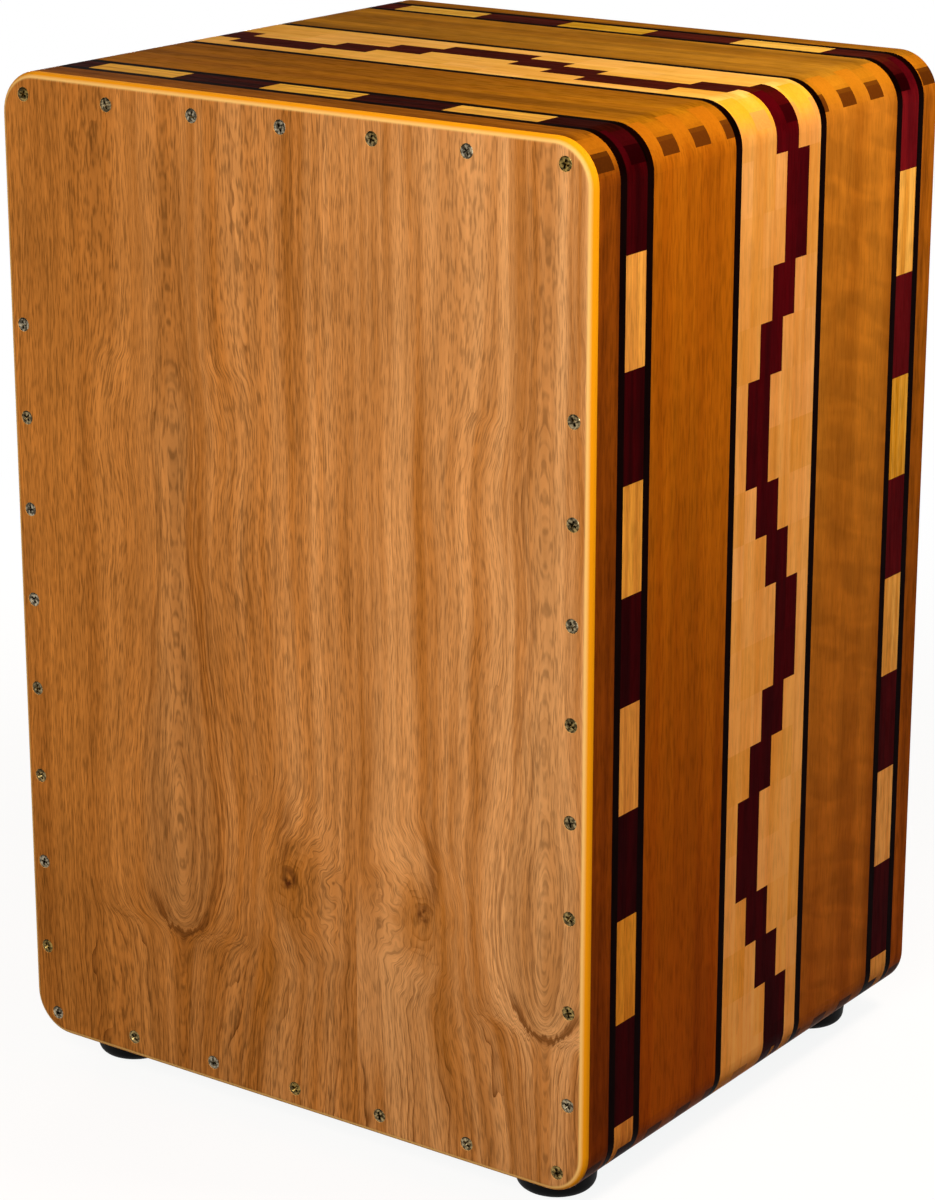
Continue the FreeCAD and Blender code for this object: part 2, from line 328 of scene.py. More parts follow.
class Board(Nodes):
    """The nodes of one board, and the wood that they draw."""

    # True pores are 0.1 to 0.2 mm wide, too fine to show, so they are drawn 0.6 mm wide.
    PORE_MM = 0.6
    STREAK_MM = 6.0
    # The top is painted a little yellower, a painted tint of the light on it, while 0.5 leaves a hue as it
    # is.
    TOP_PAINTED_HUE = 0.514
    # Lanes of blocks are counted from this far in front of the middle, and rows are counted down from
    # an upright board's first joint, or in from the first joint of a board that lies across.
    LANE_START_MM = 29.7
    UPRIGHT_START_MM = 484.0 - 50.75
    ACROSS_START_MM = 161.0 - 32.0

    def __init__(self, owner: Material, wood: LacqueredWood, run: Run, shift: float) -> None:
        """Start a board.

        Args:
            owner: Its material.
            wood: Its wood.
            run: The way its fibres run.
            shift: How far into the timber it was cut, in mm.
        """
        super().__init__(owner)
        self.wood = wood
        self.run = run
        self.place = self.add("TexCoord").outputs["Object"]
        cut = {0: self.place, 1: (1 / MM,) * 3, 2: (shift, shift * 1.7, shift * 0.6)}
        self.spot = self.add("VectorMath", cut, operation="MULTIPLY_ADD")

    def draw(self) -> None:
        """Draw the whole board."""
        wood = self.wood
        pore = self.add("MapRange", {0: self._fibres(self.PORE_MM, 9.0), 1: 0.46, 2: 0.64})
        colour = self._slants(self._long_grain(pore))
        rough = self.add("MapRange", {0: pore, 3: wood.roughness, 4: wood.roughness + 0.12})
        relief = {"Strength": 0.25, "Distance": 0.06 * MM, "Height": pore}
        looks = {"Base Color": colour, "Roughness": rough, "IOR": 1.5, "Specular IOR Level": wood.gloss}
        self.close_surface(relief, looks, sunk=True)

    def _long_grain(self, pore: Node) -> Node:
        """Colour the wood as it is along its fibres.

        Args:
            pore: The pores.

        Returns:
            The node that gives the colour.
        """
        wood = self.wood
        bands = self._fibres(wood.band_mm, 30.0)
        colour = self.stain(wood.pale, wood.dark, (bands, 0.32, 0.68, 0.0, 1.0), wood.band_strength)
        inputs = {"Vector": self.spot, "Scale": 0.055, "Detail": 3.0, "Roughness": 0.6}
        mottle = self.add("TexNoise", inputs)
        light = self.add("MapRange", {0: mottle, 1: 0.3, 2: 0.7, 3: 1 - wood.mottle, 4: 1 + wood.mottle})
        holes = self.product(pore, wood.pore_strength)
        light = self.add("Math", {0: light, 1: holes}, operation="SUBTRACT")
        tone = self._block_tone()
        shades = [light, tone]
        if wood.curl:
            shades.append(self._curl())
        if wood.streak:
            heart = self._fibres(self.STREAK_MM, 18.0)
            share = wood.streak if self.run is Run.ACROSS else wood.streak * 0.6
            streaks = {0: heart, 1: 0.3, 2: 0.7, 3: 1 + share * 0.5, 4: 1 - share}
            shades.append(self.add("MapRange", streaks))
        # Painted light: the top's boards are painted yellower, and lighter or darker by the wood's own
        # amount.
        hue: Any = self.TOP_PAINTED_HUE
        if self.run is Run.ACROSS:
            shades.append(wood.top_painted_light)
        else:
            # Painted light and shade: an upright board is painted redder towards its foot, and lighter
            # or darker along its height, standing in for the light falling off.
            height = self.add("SeparateXYZ", {0: self.place}).outputs["Z"]
            rise = self.add("MapRange", {0: height, 1: 0.03, 2: 0.45})
            hue = self.add("MapRange", {0: rise, 2: 0.7, 3: wood.foot_hue, 4: 0.5})
            shades.append(self.add("MapRange", {0: rise, 3: wood.foot_light, 4: wood.head_painted_light}))
        lower, upper = 1 + wood.tint_spread, 1 - wood.tint_spread
        tint = self.add("MapRange", {0: tone, 1: 0.9, 2: 1.1, 3: lower, 4: upper})
        inputs = {"Hue": hue, "Saturation": tint, "Value": self.product(*shades), "Color": colour}
        return self.add("HueSaturation", inputs)

    def _slants(self, colour: Node) -> Node:
        """Colour the rounded corner with a painted highlight, and the end grain.

        Args:
            colour: The colour along the fibres.

        Returns:
            The node that gives the whole board's colour.
        """
        wood = self.wood
        ends = self.facing(self.run.value)
        speckle = self.add("TexNoise", {"Vector": self.spot, "Scale": 0.9, "Detail": 1.0})
        light = self.add("MapRange", {0: speckle, 1: 0.3, 2: 0.7, 3: 0.93, 4: 1.06})
        # The corner tone is a painted highlight on the rounded corner; on an upright board it runs on over
        # the end grain that faces up, while a board that lies across keeps dark end grain.
        slants = [(wood.corner, 0.1, 0.75, 0.8)]
        if self.run is Run.ACROSS:
            slants = [(wood.corner, 0.3, 0.5, 0.7), (wood.end, 0.68, 0.8, 1.0)]
        for tone, start, stop, full in slants:
            speckled = self.add("HueSaturation", {"Value": light, "Color": tone})
            colour = self.stain(colour, speckled, (ends, start, stop, 0.0, full))
        return colour

    def _fibres(self, width: float, stretch: float) -> Node:
        """Draw noise so many mm wide that is stretched so many times along the fibres."""
        x, y, z = ((1 / stretch if along else 1.0) / (2 * width) for along in self.run.value)
        return self.clouds(self.spot, (x, y, z), 3.0, 0.15)

    def _curl(self) -> Node:
        """Draw the soft ripples that cross a figured board where its fibres wave in and out.

        Returns:
            The node whose output multiplies the colour's value.
        """
        # Ripples are 30 to 45 mm long across the board and about 12 mm apart, on a slant.
        along = Vector(self.run.value)
        across = Vector((0.0, 1.0, 0.0))
        ways = (across / 42 - along / 60, along / 13 + across / 34)
        turned: dict[int, Any] = {}
        for axis, way in enumerate(ways):
            dot = self.add("VectorMath", {0: self.spot, 1: way[:]}, operation="DOT_PRODUCT")
            turned[axis] = dot.outputs["Value"]
        drawn = self.add("CombineXYZ", turned)
        inputs = {"Vector": drawn, "Scale": 1.0, "Detail": 1.5, "Distortion": 0.6}
        ripple = self.add("TexNoise", inputs)
        share = self.wood.curl if self.run is Run.UPRIGHT else self.wood.curl * 0.3
        return self.product((ripple, 0.34, 0.68, 1 - share, 1 + share))

    def _block_tone(self) -> Node:
        """Give each glued-up block a lightness of its own.

        Returns:
            The node whose output multiplies the colour's value.
        """
        wood = self.wood
        xyz = self.add("SeparateXYZ", {0: self.place})
        row, way, row_start = xyz.outputs["X"], 1 / MM, self.ACROSS_START_MM
        if self.run is Run.UPRIGHT:
            row, way, row_start = xyz.outputs["Z"], -1 / MM, self.UPRIGHT_START_MM
        counts = (
            (xyz.outputs["Y"], 1 / MM / wood.lane_mm, self.LANE_START_MM / wood.lane_mm),
            (row, way / wood.row_mm, row_start / wood.row_mm),
        )
        cell: dict[int, Any] = {2: 3.0}
        for axis, (value, scale, start) in enumerate(counts):
            count = self.add("Math", {0: value, 1: scale, 2: start}, operation="MULTIPLY_ADD")
            cell[axis] = self.add("Math", {0: count}, operation="FLOOR")
        block = self.add("CombineXYZ", cell)
        chance = self.add("TexWhiteNoise", {"Vector": block}, noise_dimensions="3D")
        return self.add("MapRange", {0: chance, 3: 1 - wood.tone_spread, 4: 1 + wood.tone_spread})


@dataclass(frozen=True)
class BookmatchedVeneer:
    """Cedar veneer on the striking plate, opened like a book, sanded and satin lacquered.

    The two leaves mirror each other about a seam right of the middle. The eye gets a knot each side
    of the seam, a tall closed cathedral further out on each leaf, fine straight pores elsewhere,
    painted light that pales the plate towards its right, and on the rounded rim the plies, pale
    under a painted highlight, then amber.
    """

    name: str = "bookmatched_cedar_veneer"
    pale: str = "#b8722f"
    mid: str = "#a66325"
    dark: str = "#6f3d14"
    # The pale tone of the painted light on the plate's right, and of the painted highlight by the seam.
    lit_pale: str = "#dc9e62"
    amber: str = "#9c5a14"
    heart: str = "#4a200a"
    bloom: str = "#a97644"
    # The rim's pale plies, partly their own colour and partly a painted highlight.
    rim_pale_highlight: str = "#f4be6c"
    rim_amber: str = "#ec940c"
    seam_mm: float = 37.0
    axis_mm: float = 102.0
    knot_mm: tuple[float, float] = (37.0, 127.0)
    height_mm: float = 484.0
    front_mm: float = -144.0

    def make(self) -> Material:
        """Build the plate's material.

        Returns:
            The material.
        """
        material = bpy.data.materials.new(self.name)
        Figure(material, self).draw()
        return material


class Figure(Nodes):
    """The nodes of the veneer's figure, drawn from how the leaves lie in the tree's growth.

    The fibres follow `depth`, and `rings` is the same with torn edges. `off` is measured out of the
    cathedral's axis, `leaf` out of the seam, `away` from the knot, and `height` over the ground.
    All are in mm. `right` is 1 on the right leaf, `flow` is where streaks are drawn, and `beside`
    fades lines near the cathedral's axis.
    """

    # Half the width of the cathedral's outer ring in mm, against height over the ground in mm.
    CATHEDRAL = (
        (0.0, 2.0), (60.0, 3.0), (80.0, 4.6), (87.0, 8.0), (91.0, 14.0), (97.0, 18.0),
        (108.0, 21.5), (125.0, 23.5), (150.0, 23.5), (180.0, 20.5), (205.0, 17.0), (230.0, 14.0),
        (255.0, 11.5), (280.0, 9.5), (300.0, 10.5), (325.0, 12.5), (345.0, 10.0), (358.0, 7.5),
        (366.0, 5.0), (400.0, 3.0), (484.0, 2.0),
    )
    # The depth of that ring, how far rings are torn up and down, and the half width that a curve's
    # full height stands for.
    WIDEST_MM = 22.0
    RAGGED_MM = 12.0
    CURVE_MM = 30.0
    # The dark rings that show: depth in mm, half the thickness in mm, and how dark they are.
    RINGS = (
        (22.0, 0.9, 0.75),
        (15.0, 0.9, 0.5),
        (8.5, 1.2, 0.4),
        (24.6, 0.5, 0.6),
        (26.8, 0.45, 0.55),
        (29.2, 0.45, 0.45),
        (33.5, 0.5, 0.3),
    )
    # The depth of the dark smile, and how far apart growth lines and a knot's whirls lie.
    SMILE_MM = 20.6
    GROWTH_LINE_MM = 3.1
    WHIRL_MM = 2.7
    # How far out of the seam the knots' dark flames run up.
    FLAME_MM = 41.0
    # The knots are taller than wide, so heights count for less in their distance.
    KNOT_SQUASH = 0.72

    def __init__(self, owner: Material, finish: BookmatchedVeneer) -> None:
        """Work out how deep in the tree's growth each point of the leaves lies.

        Args:
            owner: The plate's material.
            finish: The plate's finish.
        """
        super().__init__(owner)
        self.finish = finish
        place = self.add("TexCoord").outputs["Object"]
        spot = self.add("VectorMath", {0: place, "Scale": 1 / MM}, operation="SCALE")
        self.across, self.inward, self.height = self.add("SeparateXYZ", {0: spot}).outputs
        self.slow = self.add("CombineXYZ", {0: self.across, 1: 0.0, 2: self.height})
        self.leaf = self._leaf()
        self.off = self.add("Math", {0: self.leaf, 1: finish.axis_mm}, operation="SUBTRACT")
        self.beside = self.product((self.gap(self.off, 0.0), 2.0, 9.0, 0.45, 1.0))
        # The ridge along the axis is rounded, over about 6 mm.
        square = self.add("Math", {0: self.off, 1: self.off, 2: 6.0**2}, operation="MULTIPLY_ADD")
        ridge = self.add("Math", {0: square}, operation="SQRT")
        smooth, rough = self._arches(ridge)
        self.away = self._away()
        knot = self.product((self.away, 3.0, 38.0, 1.0, 0.0))
        bulge = self.add("Math", {0: knot, 1: 17.0, 2: ridge}, operation="MULTIPLY_ADD")
        # High up, the fibres inside the figure run straight.
        calm = self.product((ridge, 9.0, 24.0, 0.85, 0.0), (self.height, 130.0, 230.0, 0.0, 1.0))
        smooth = self.product(smooth, self.add("Math", {0: 1.0, 1: calm}, operation="SUBTRACT"))
        depth = self.add("Math", {0: bulge, 1: smooth}, operation="SUBTRACT")
        wander = self.clouds(self.slow, (0.07, 0.0, 0.022), 2.0)
        rings = self.add("Math", {0: bulge, 1: rough}, operation="SUBTRACT")
        rings = self.add("Math", {0: wander, 1: 9.0, 2: rings}, operation="MULTIPLY_ADD")
        self.rings = self.add("Math", {0: rings, 1: 4.5}, operation="SUBTRACT")
        # The two leaves share their rings, but each has pores of its own.
        self.right = self.add("Math", {0: self.across, 1: finish.seam_mm}, operation="GREATER_THAN")
        aside = self.add("Math", {0: self.off, 1: 0.007, 2: self.right}, operation="MULTIPLY_ADD")
        self.flow = self.add("CombineXYZ", {0: depth, 1: aside, 2: self.height})

    def draw(self) -> None:
        """Draw the whole plate."""
        pore = self.add("MapRange", {0: self._streak(0.42, 7.0, 1.0), 1: 0.46, 2: 0.66})
        colour = self._knots(self._growth_lines(self._rings(self._tones())))
        colour = self.add("HueSaturation", {"Value": self._shade(pore), "Color": colour})
        rough = self.add("MapRange", {0: pore, 3: 0.42, 4: 0.55})
        relief = {"Strength": 0.3, "Distance": 0.06 * MM, "Height": pore}
        looks = {"Roughness": rough, "IOR": 1.5, "Specular IOR Level": 0.01}
        self.close_surface(relief, {"Base Color": self._rim(colour), **looks}, sunk=True)

    def _leaf(self) -> Node:
        """Measure how far out of the seam a point lies, along the way that the leaf grew.

        Returns:
            The node that gives the distance in mm, the same on both leaves.
        """
        sway = self.clouds(self.slow, (0.02, 0.0, 0.008), 2.0)
        moved = self.add("Math", {0: sway, 1: 8.0, 2: self.across}, operation="MULTIPLY_ADD")
        leaf = self.gap(moved, self.finish.seam_mm + 4.0)
        # Below the knots the fibres fan out from the seam.
        fan_top = self.finish.knot_mm[1] + 15.0
        fan = self.product((self.height, 15.0, fan_top, 0.3, 0.0), (leaf, 50.0, 115.0, 1.0, 0.0))
        keep = self.add("Math", {0: 1.0, 1: fan}, operation="SUBTRACT")
        return self.product(leaf, keep)

    def _arches(self, ridge: Node) -> tuple[Node, Node]:
        """Work out how far the cathedral pushes the growth outwards.

        Args:
            ridge: The distance from the cathedral's axis, in mm.

        Returns:
            The push in mm, with a smooth edge and with a torn one.
        """
        # The torn edge of each ring where the knife crossed the fibres: 1.5 mm wide, 25 mm tall.
        torn = self.clouds(self.slow, (0.33, 0.0, 0.02), 3.0)
        ragged = self.add("Math", {0: torn, 1: self.RAGGED_MM, 2: self.height}, operation="MULTIPLY_ADD")
        points = tuple((up / self.finish.height_mm, half / self.CURVE_MM) for up, half in self.CATHEDRAL)
        lowest, highest = -self.WIDEST_MM, self.CURVE_MM - self.WIDEST_MM
        reach = self.product((ridge, 22.0, 62.0, 1.0, 0.1))
        arches = []
        for up, start in ((self.height, 0.0), (ragged, self.RAGGED_MM / 2)):
            level = self.add("MapRange", {0: up, 1: start, 2: self.finish.height_mm + start})
            curve = self.add("FloatCurve", {"Value": level}, points=points)
            arch = self.add("MapRange", {0: curve, 3: lowest, 4: highest})
            arches.append(self.product(arch, reach))
        return arches[0], arches[1]

    def _away(self) -> Node:
        """Measure how far from its leaf's knot a point lies, in a swirl.

        Returns:
            The node that gives the distance in mm.
        """
        out, up = self.finish.knot_mm
        here = self.add("CombineXYZ", {0: self.leaf, 1: 0.0, 2: self.height})
        flat = self.add("VectorMath", {0: here, 1: (1.0, 0.0, self.KNOT_SQUASH)}, operation="MULTIPLY")
        away = self.add(
            "VectorMath", {0: flat, 1: (out, 0.0, up * self.KNOT_SQUASH)}, operation="DISTANCE"
        )
        swirl = self.add("TexNoise", {"Vector": self.slow, "Scale": 0.07, "Detail": 2.0})
        middle = self.add("Math", {0: away.outputs["Value"], 1: -6.5})
        return self.add("Math", {0: swirl, 1: 13.0, 2: middle}, operation="MULTIPLY_ADD")

    def _streak(self, across: float, along: float, detail: float) -> Node:
        """Draw noise that follows the grain, so many mm wide across it and long along it."""
        return self.clouds(self.flow, (1 / across, 9.0, 1 / along), detail)

    def _tones(self) -> Node:
        """Colour the veneer under its figure.

        Returns:
            The node that gives the colour.
        """
        # Painted light: the tone lightens from left to right, as more light falls on the right.
        turn = self.add("MapRange", {0: self.across, 1: -130.0, 2: 170.0})
        pale = self.stain(self.finish.pale, self.finish.lit_pale, turn)
        broad = self._streak(16.0, 420.0, 3.0)
        colour = self.stain(pale, self.finish.mid, (broad, 0.25, 0.75, 0.0, 1.0))
        # The wood inside the cathedral is a little duller.
        return self.stain(colour, self.finish.bloom, (self.rings, 15.0, 25.0, 0.36, 0.0))

    def _rings(self, colour: Node) -> Node:
        """Draw the dark rings of the cathedral.

        Args:
            colour: The colour beneath.

        Returns:
            The node that gives the colour with the rings on it.
        """
        patchy = self.product(
            (self._streak(9.0, 70.0, 1.0), 0.35, 0.65, 0.45, 1.0),
            self.beside,
            (self.off, -4.0, 8.0, 1.35, 0.7),
            (self.right, 0.0, 1.0, 1.0, 0.55),
            (self.height, 230.0, 350.0, 1.0, 0.5),
        )
        seamward = self.product((self.off, -12.0, 6.0, 1.0, 0.25))
        for depth, half, strength in self.RINGS:
            line = (self.gap(self.rings, depth), half * 0.4, half * 1.5, strength, 0.0)
            where = [patchy, seamward] if depth > self.WIDEST_MM else [patchy]
            colour = self.stain(colour, self.finish.dark, line, *where)
        # The outer ring closes in a thick dark smile at the cathedral's foot.
        smile = (self.gap(self.rings, self.SMILE_MM), 0.8, 3.2, 0.8, 0.0)
        return self.stain(colour, self.finish.dark, smile, (self.height, 94.0, 112.0, 1.0, 0.0))

    def _growth_lines(self, colour: Node) -> Node:
        """Draw the fine growth lines, which come and go over the whole leaf.

        Args:
            colour: The colour beneath.

        Returns:
            The node that gives the colour with the lines on it.
        """
        count = self.product(self.rings, 1 / self.GROWTH_LINE_MM)
        drift = self._streak(12.0, 500.0, 1.0)
        phase = self.add("Math", {0: drift, 1: 2.4, 2: count}, operation="MULTIPLY_ADD")
        line = self.repeated_line(phase, 5.0)
        patches = self._streak(7.0, 150.0, 1.0)
        shown = self.product((patches, 0.42, 0.62, 0.0, 0.42), (self.height, 60.0, 120.0, 1.5, 1.0))
        # They are bold at the plate's foot.
        bold = self.product((self.height, 55.0, 120.0, 0.4, 0.0))
        shown = self.add("Math", {0: shown, 1: bold})
        return self.stain(colour, self.finish.dark, line, shown, self.beside)

    def _knots(self, colour: Node) -> Node:
        """Draw the knots, each with a dark heart, whirls of grain and a dark flame above it.

        Args:
            colour: The colour beneath.

        Returns:
            The node that gives the colour with the knots on it.
        """
        height, away = self.height, self.away
        torn = self.add("TexNoise", {"Vector": self.flow, "Scale": 0.16, "Detail": 3.0})
        torn = self.product((torn, 0.36, 0.62, 0.0, 1.0))
        whirl = self.repeated_line(self.product(away, 1 / self.WHIRL_MM), 3.0)
        flame_side = self.gap(self.leaf, self.FLAME_MM)
        flicker = self._streak(3.0, 45.0, 2.0)
        marks = (
            (self.finish.dark, whirl, torn, (away, 7.0, 20.0, 0.8, 0.0)),
            (self.finish.amber, (away, 4.0, 26.0, 0.5, 0.0)),
            (self.finish.heart, torn, (away, 1.5, 6.5, 0.95, 0.0)),
            (
                self.finish.dark,
                (height, 128.0, 142.0, 0.0, 0.7),
                (height, 150.0, 184.0, 1.0, 0.0),
                (flicker, 0.36, 0.6, 1.0, 0.2),
                (flame_side, 1.0, 7.0, 1.0, 0.0),
            ),
            # An amber smear lies below each knot.
            (
                self.finish.amber,
                (height, 40.0, 70.0, 0.0, 0.4),
                (height, 84.0, 108.0, 1.0, 0.0),
                (flame_side, 0.0, 14.0, 1.0, 0.0),
            ),
            # Low on the right leaf a pale patch beside the seam is a painted highlight, so the seam shows.
            (
                self.finish.lit_pale,
                (height, 30.0, 70.0, 0.0, 0.42),
                (height, 100.0, 150.0, 1.0, 0.0),
                self.right,
                (self.leaf, 4.0, 30.0, 1.0, 0.0),
            ),
        )
        for tone, *parts in marks:
            colour = self.stain(colour, tone, *parts)
        return colour

    def _shade(self, pore: Node) -> Node:
        """Work out the light and dark of the pores and fibres.

        Args:
            pore: The pores.

        Returns:
            The node whose output multiplies the colour's value.
        """
        # Cedar's pores are 0.2 mm wide, too fine to show, so they are drawn about 0.4 mm wide.
        shades = [self.add("MapRange", {0: pore, 3: 1.13, 4: 0.62})]
        cloud = self.add("TexNoise", {"Vector": self.flow, "Scale": 0.018, "Detail": 2.0})
        layers = (
            (self._streak(1.1, 36.0, 3.0), 1.13, 0.86),
            (self._streak(3.2, 110.0, 3.0), 1.12, 0.9),
            (cloud, 0.93, 1.08),
        )
        for layer, low, high in layers:
            shades.append(self.add("MapRange", {0: layer, 1: 0.3, 2: 0.7, 3: low, 4: high}))
        # The right leaf's figure is fainter, and the plate is made paler across its middle.
        fainter = self.add("MapRange", {0: self.right, 3: 1.0, 4: 0.75})
        shade = self.add("Math", {0: self.product(*shades), 1: fainter}, operation="POWER")
        lower = (self.height, 50.0, 170.0, 0.96, 1.04)
        upper = (self.height, 290.0, 420.0, 1.02, 0.96)
        return self.product(shade, lower, upper)

    def _rim(self, face: Node) -> Node:
        """Show the rounded edge's plies: pale under a painted highlight, then amber.

        Args:
            face: The face's colour.

        Returns:
            The colour with the rim in it.
        """
        finish, front = self.finish, self.finish.front_mm
        # The pale front of the rim is partly the plies' colour and partly a painted highlight.
        amber = (self.inward, front + 0.3, front + 1.5, 0.0, 1.0)
        rim = self.stain(finish.rim_pale_highlight, finish.rim_amber, amber)
        return self.stain(face, rim, (self.inward, front + 0.02, front + 0.4, 0.0, 1.0))


@dataclass(frozen=True)
class BirchPlywood:
    """Birch plywood, sanded and left under one thin coat of lacquer.

    The eye gets a pale, faintly wavy face and, in the sound hole, the light and dark plies.
    """

    name: str = "birch_plywood"
    pale: str = "#d9b184"
    dark: str = "#c4935f"
    glue: str = "#8a5c33"
    ply_mm: float = 1.2
    back_mm: float = 144.0

    def make(self) -> Material:
        """Build the back plate's material.

        Returns:
            The material.
        """
        material, nodes = new_material(self.name)
        place = nodes.add("TexCoord").outputs["Object"]
        spot = nodes.add("VectorMath", {0: place, "Scale": 1 / MM}, operation="SCALE")
        # The face's waves are 16 mm wide and 260 mm tall, and its fibres 1.4 mm wide and 22 mm tall.
        wave = nodes.clouds(spot, (1 / 16, 1 / 16, 1 / 260), 4.0, 0.8)
        face = nodes.stain(self.pale, self.dark, nodes.add("MapRange", {0: wave, 1: 0.35, 2: 0.65}))
        pore = nodes.clouds(spot, (0.7, 0.7, 1 / 22), 2.0)
        light = nodes.add("MapRange", {0: pore, 1: 0.35, 2: 0.75, 3: 1.03, 4: 0.9})
        face = nodes.add("HueSaturation", {"Value": light, "Color": face})
        depth = nodes.add("SeparateXYZ", {0: spot}).outputs["Y"]
        depth = nodes.add("Math", {0: self.back_mm, 1: depth}, operation="SUBTRACT")
        layer = nodes.add("Math", {0: depth, 1: self.ply_mm}, operation="PINGPONG")
        stripe = nodes.add("MapRange", {0: layer, 1: 0.35 * self.ply_mm, 2: 0.65 * self.ply_mm})
        edge = nodes.stain(self.pale, self.glue, stripe)
        whole = nodes.add("MapRange", {0: nodes.facing((0.0, 1.0, 0.0)), 1: 0.8, 2: 0.95})
        colour = nodes.stain(edge, face, whole)
        relief = {"Strength": 0.2, "Distance": 0.05 * MM, "Height": pore}
        looks = {"Base Color": colour, "Roughness": 0.5, "IOR": 1.5, "Specular IOR Level": 0.08}
        nodes.close_surface(relief, looks, sunk=False)
        return material


@dataclass(frozen=True)
class PlatedSteel:
    """Steel, zinc plated and passivated, rolled and stamped.

    The eye gets a soft grey shine that turns faintly yellow from head to head, with dark patches
    that are partly dust and partly painted shade.
    """

    name: str = "zinc_plated_steel"
    bright: str = "#aca087"
    warm: str = "#9c8144"
    # Dark patches: dust, and painted shade round the heads.
    grime_and_shade: str = "#241c10"

    def make(self) -> Material:
        """Build the fasteners' material.

        Returns:
            The material.
        """
        material, nodes = new_material(self.name)
        place = nodes.add("TexCoord").outputs["Object"]
        wide = nodes.add("TexNoise", {"Vector": place, "Scale": 23.0, "Detail": 1.0})
        fine = nodes.add("TexNoise", {"Vector": place, "Scale": 1400.0, "Detail": 2.0})
        turn = nodes.add("MapRange", {0: wide, 1: 0.4, 2: 0.65})
        colour = nodes.stain(self.bright, self.warm, turn)
        # Dark patches about 1 mm wide are partly lacquer and dust, partly painted shade round the heads.
        patch = nodes.add("TexNoise", {"Vector": place, "Scale": 640.0, "Detail": 2.0})
        grime_and_shade_share = nodes.add("MapRange", {0: patch, 1: 0.36, 2: 0.56, 4: 0.88})
        colour = nodes.stain(colour, self.grime_and_shade, grime_and_shade_share)
        rough = nodes.add("MapRange", {0: fine, 3: 0.2, 4: 0.4})
        relief = {"Strength": 0.15, "Distance": 0.02 * MM, "Height": fine}
        looks = {"Base Color": colour, "Metallic": 1.0, "Roughness": rough}
        nodes.close_surface(relief, looks, sunk=False)
        return material


@dataclass(frozen=True)
class MouldedRubber:
    """Black rubber, moulded, with a fine matt skin.

    The eye gets a near-black body with a soft wide sheen and a little dust in its grain.
    """

    name: str = "moulded_black_rubber"
    black: str = "#050404"
    dusty: str = "#0e0c0b"

    def make(self) -> Material:
        """Build the feet's material.

        Returns:
            The material.
        """
        material, nodes = new_material(self.name)
        place = nodes.add("TexCoord").outputs["Object"]
        # The mould's grit is 0.1 mm, too fine to show, so it is drawn 0.6 mm wide.
        grit = nodes.add("TexNoise", {"Vector": place, "Scale": 1600.0, "Detail": 2.0})
        dust = nodes.add("TexNoise", {"Vector": place, "Scale": 140.0, "Detail": 3.0})
        amount = nodes.add("MapRange", {0: dust, 1: 0.45, 2: 0.75})
        colour = nodes.stain(self.black, self.dusty, amount)
        rough = nodes.add("MapRange", {0: grit, 3: 0.5, 4: 0.7})
        relief = {"Strength": 0.3, "Distance": 0.05 * MM, "Height": grit}
        looks = {"Base Color": colour, "Roughness": rough, "IOR": 1.52, "Specular IOR Level": 0.06}
        nodes.close_surface(relief, looks, sunk=False)
        return material


CEDAR_FRONT = LacqueredWood(
    "brown_cedar", pale="#b8600a", dark="#9a4804", end="#5c2a05", band_mm=4.0, band_strength=0.7,
    pore_strength=0.26, mottle=0.06, streak=0.34, top_painted_light=0.9, foot_light=0.88,
)
CEDAR_REAR = LacqueredWood(
    "figured_brown_cedar", pale="#c8741c", dark="#9a4e08", end="#5c2a05", band_mm=9.0,
    band_strength=0.6, pore_strength=0.16, mottle=0.08, curl=0.11, streak=0.34, corner="#bc6e0e",
    top_painted_light=0.86, head_painted_light=0.94, foot_light=0.88,
)
REAR_RAIL = LacqueredWood(
    "rail_cedar", pale="#b05e10", dark="#864206", end="#502404", band_mm=4.0, band_strength=0.8,
    pore_strength=0.28, mottle=0.12,
)
FRONT_RAIL = replace(
    REAR_RAIL, name="dark_brown_cedar", pale="#8e4208", dark="#6a2c04", end="#4a2003", top_painted_light=1.22,
    foot_hue=0.494,
)
MAPLE = LacqueredWood(
    "maple", pale="#f0a24e", dark="#e08a36", end="#dc8c3c", band_mm=3.0, band_strength=0.8,
    pore_strength=0.12, mottle=0.05, lane_mm=9.5, tone_spread=0.06, tint_spread=0.035, corner="#fa9e16",
    top_painted_light=1.1, head_painted_light=0.88, foot_light=1.3, foot_hue=0.5,
)
CHECKER_MAPLE = LacqueredWood(
    "streaked_maple", pale="#f09e2c", dark="#ca7a1e", end="#ac6418", band_mm=2.0, band_strength=0.9,
    pore_strength=0.22, mottle=0.06, tone_spread=0.16, tint_spread=0.03, row_mm=49.1, corner="#fa9e16",
)
REAR_CHECKER_MAPLE = replace(CHECKER_MAPLE, name="pale_maple", pale="#fcb24a", dark="#dc8a26")
PURPLEHEART = LacqueredWood(
    "purpleheart", pale="#4c0206", dark="#340104", end="#2c0103", band_mm=3.0, band_strength=0.8,
    pore_strength=0.2, mottle=0.1, lane_mm=9.5, tone_spread=0.14, corner="#4a0206", foot_light=0.62,
    foot_hue=0.5,
)
CHECKER_PURPLEHEART = LacqueredWood(
    "dark_purpleheart", pale="#380103", dark="#200001", end="#1e0001", band_mm=3.0, band_strength=0.9,
    pore_strength=0.2, mottle=0.1, tone_spread=0.4, row_mm=49.1, corner="#3c0206", foot_light=0.85,
    foot_hue=0.5,
)
REAR_CHECKER_PURPLEHEART = replace(
    CHECKER_PURPLEHEART, name="red_purpleheart", pale="#5c090c", dark="#3a0206", head_painted_light=1.15,
    foot_light=0.7,
)
DYED_HARDWOOD = LacqueredWood(
    "black_dyed_hardwood", pale="#0e0100", dark="#080100", end="#060100", band_mm=1.5,
    band_strength=0.8, pore_strength=0.2, mottle=0.1, corner="#0e0100", foot_hue=0.5,
)


